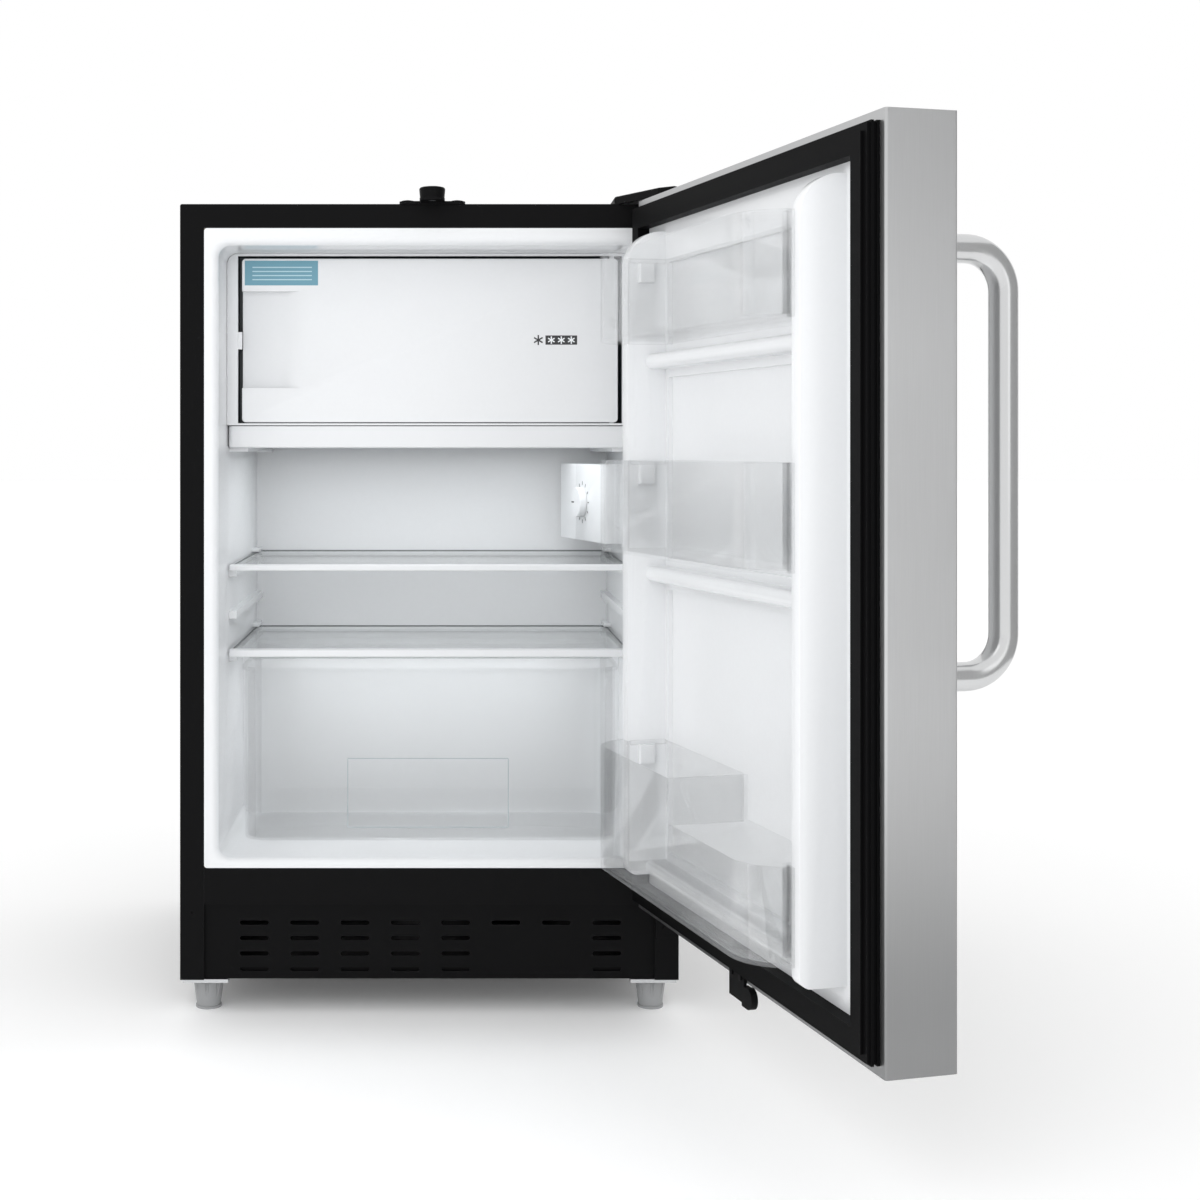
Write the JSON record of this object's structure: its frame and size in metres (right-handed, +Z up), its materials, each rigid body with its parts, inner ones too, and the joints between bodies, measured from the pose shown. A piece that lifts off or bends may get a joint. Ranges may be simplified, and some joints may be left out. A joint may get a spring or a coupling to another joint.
{
  "type": "mini fridge",
  "caption": "Compact built-in refrigerator with a hinged steel door, bowed handle, freezer box, glass shelves, clear drawer, door bins and a key lock.",
  "frame": {"origin": "on the floor, on the cabinet's centreline, in the plane of the cabinet's front", "axes": "+Z up, +Y from the cabinet's front to its back, +X to the right seen from the front; the door stands open at rest"},
  "size_m": [0.699, 0.956, 0.8271],
  "materials": {
    "black_steel": "satin",
    "galvanised": "satin",
    "foam": "matte",
    "white_liner": "gloss",
    "white_plastic": "satin",
    "black_plastic": "matte",
    "bright_steel": "satin",
    "compressor_black": "satin",
    "grommet_rubber": "matte",
    "copper": "satin",
    "aluminium_plate": "satin",
    "seal_grey": "matte",
    "label_blue": "satin",
    "shelf_glass": "gloss",
    "clear_plastic": "gloss",
    "lens": "gloss",
    "lamp_white": "gloss",
    "stainless_skin": "satin",
    "stainless_handle": "satin",
    "seal_black": "matte",
    "magnet": "matte",
    "foot_grey": "satin"
  },
  "bodies": {
    "cabinet": {"cabinet_shell": "black_steel", "back_panel": "galvanised", "bottom_rail": "black_steel", "foam_bulkhead": "galvanised", "cabinet_foam": "foam", "inner_liner": "white_liner", "toe_grille": "black_plastic", "base_pan": "black_steel", "rear_cover": "black_steel", "foot_plates": "bright_steel", "compressor": "compressor_black", "compressor_grommets": "grommet_rubber", "condenser_coil": "compressor_black", "filter_drier": "copper", "evaporation_pan": "black_plastic", "drain_tube": "white_plastic", "suction_line": "copper", "power_inlet": "grommet_rubber", "top_hinge_bracket": "bright_steel", "hinge_cover": "black_plastic", "lower_hinge_bracket": "black_steel", "cabinet_screws": "black_steel", "lock_plate": "black_steel", "lock_barrel": "black_steel", "freezer_frame": "white_plastic", "freezer_hinge_pins": "bright_steel", "evaporator": "aluminium_plate", "thermostat_housing": "white_plastic", "lamp_lens": "lens", "lamp": "lamp_white"},
    "door": {"door_skin": "stainless_skin", "door_foam": "foam", "door_liner": "white_liner", "door_gasket": "seal_black", "gasket_magnet": "magnet", "hinge_bushings": "black_plastic", "lock_strike": "black_plastic", "door_handle": "stainless_handle", "door_screws": "black_steel", "lower_catch": "black_plastic"},
    "top_bin_body": {"top_bin": "clear_plastic"},
    "middle_bin_body": {"middle_bin": "clear_plastic"},
    "bottom_bin_body": {"bottom_bin": "clear_plastic"},
    "freezer_door": {"freezer_door_panel": "white_liner", "freezer_door_back": "white_plastic", "freezer_door_gasket": "seal_grey", "freezer_label": "label_blue"},
    "drip_tray_body": {"drip_tray": "white_plastic"},
    "upper_shelf": {"upper_shelf_glass": "shelf_glass", "upper_shelf_trim": "white_plastic"},
    "lower_shelf": {"lower_shelf_glass": "shelf_glass", "lower_shelf_trim": "white_plastic"},
    "crisper": {"crisper_drawer": "clear_plastic"},
    "dial": {"thermostat_dial": "white_plastic"},
    "lock_plug": {"lock_core": "bright_steel"},
    "bolt": {"lock_bolt": "bright_steel"},
    "foot_fl": {"foot_front_left": "foot_grey"},
    "foot_fr": {"foot_front_right": "foot_grey"},
    "foot_bl": {"foot_back_left": "foot_grey"},
    "foot_br": {"foot_back_right": "foot_grey"}
  },
  "joints": [
    {"name": "door_swing", "type": "hinge", "parent": "cabinet", "child": "door", "pos_m": [0.232, -0.034, 0.46], "axis": [0, 0, 1], "range_deg": [-104.4, 15.6]},
    {"name": "freezer_door_swing", "type": "hinge", "parent": "cabinet", "child": "freezer_door", "pos_m": [0.19, 0.076, 0.68], "axis": [0, 0, 1], "range_deg": [0, 66]},
    {"name": "crisper_slide", "type": "slide", "parent": "cabinet", "child": "crisper", "axis": [0, -1, 0], "range_m": [0, 0.11]},
    {"name": "upper_shelf_slide", "type": "slide", "parent": "cabinet", "child": "upper_shelf", "axis": [0, -1, 0], "range_m": [0, 0.08]},
    {"name": "lower_shelf_slide", "type": "slide", "parent": "cabinet", "child": "lower_shelf", "axis": [0, -1, 0], "range_m": [0, 0.08]},
    {"name": "drip_tray_slide", "type": "slide", "parent": "cabinet", "child": "drip_tray_body", "axis": [0, -1, 0], "range_m": [0, 0.07]},
    {"name": "top_bin_lift", "type": "slide", "parent": "door", "child": "top_bin_body", "axis": [0, 0, 1], "range_m": [0, 0.03]},
    {"name": "middle_bin_lift", "type": "slide", "parent": "door", "child": "middle_bin_body", "axis": [0, 0, 1], "range_m": [0, 0.03]},
    {"name": "bottom_bin_lift", "type": "slide", "parent": "door", "child": "bottom_bin_body", "axis": [0, 0, 1], "range_m": [0, 0.03]},
    {"name": "thermostat_turn", "type": "hinge", "parent": "cabinet", "child": "dial", "pos_m": [0.17307, 0.247, 0.50684], "axis": [-0.9744, -0.225, 0], "range_deg": [-140, 140]},
    {"name": "lock_turn", "type": "hinge", "parent": "cabinet", "child": "lock_plug", "pos_m": [0.003, -0.02, 0.825], "axis": [0, 0, 1], "range_deg": [0, 90]},
    {"name": "lock_bolt_drop", "type": "slide", "parent": "cabinet", "child": "bolt", "axis": [0, 0, -1], "range_m": [0, 0.00801]},
    {"name": "foot_fl_turn", "type": "hinge", "parent": "cabinet", "child": "foot_fl", "pos_m": [-0.225, 0.03, 0.015], "axis": [0, 0, 1], "continuous": true},
    {"name": "foot_fr_turn", "type": "hinge", "parent": "cabinet", "child": "foot_fr", "pos_m": [0.225, 0.03, 0.015], "axis": [0, 0, 1], "continuous": true},
    {"name": "foot_bl_turn", "type": "hinge", "parent": "cabinet", "child": "foot_bl", "pos_m": [-0.225, 0.42, 0.015], "axis": [0, 0, 1], "continuous": true},
    {"name": "foot_br_turn", "type": "hinge", "parent": "cabinet", "child": "foot_br", "pos_m": [0.225, 0.42, 0.015], "axis": [0, 0, 1], "continuous": true}
  ],
  "couplings": [
    {"joint": "lock_bolt_drop", "follows": "lock_turn", "m_per_rad": 0.005093}
  ]
}
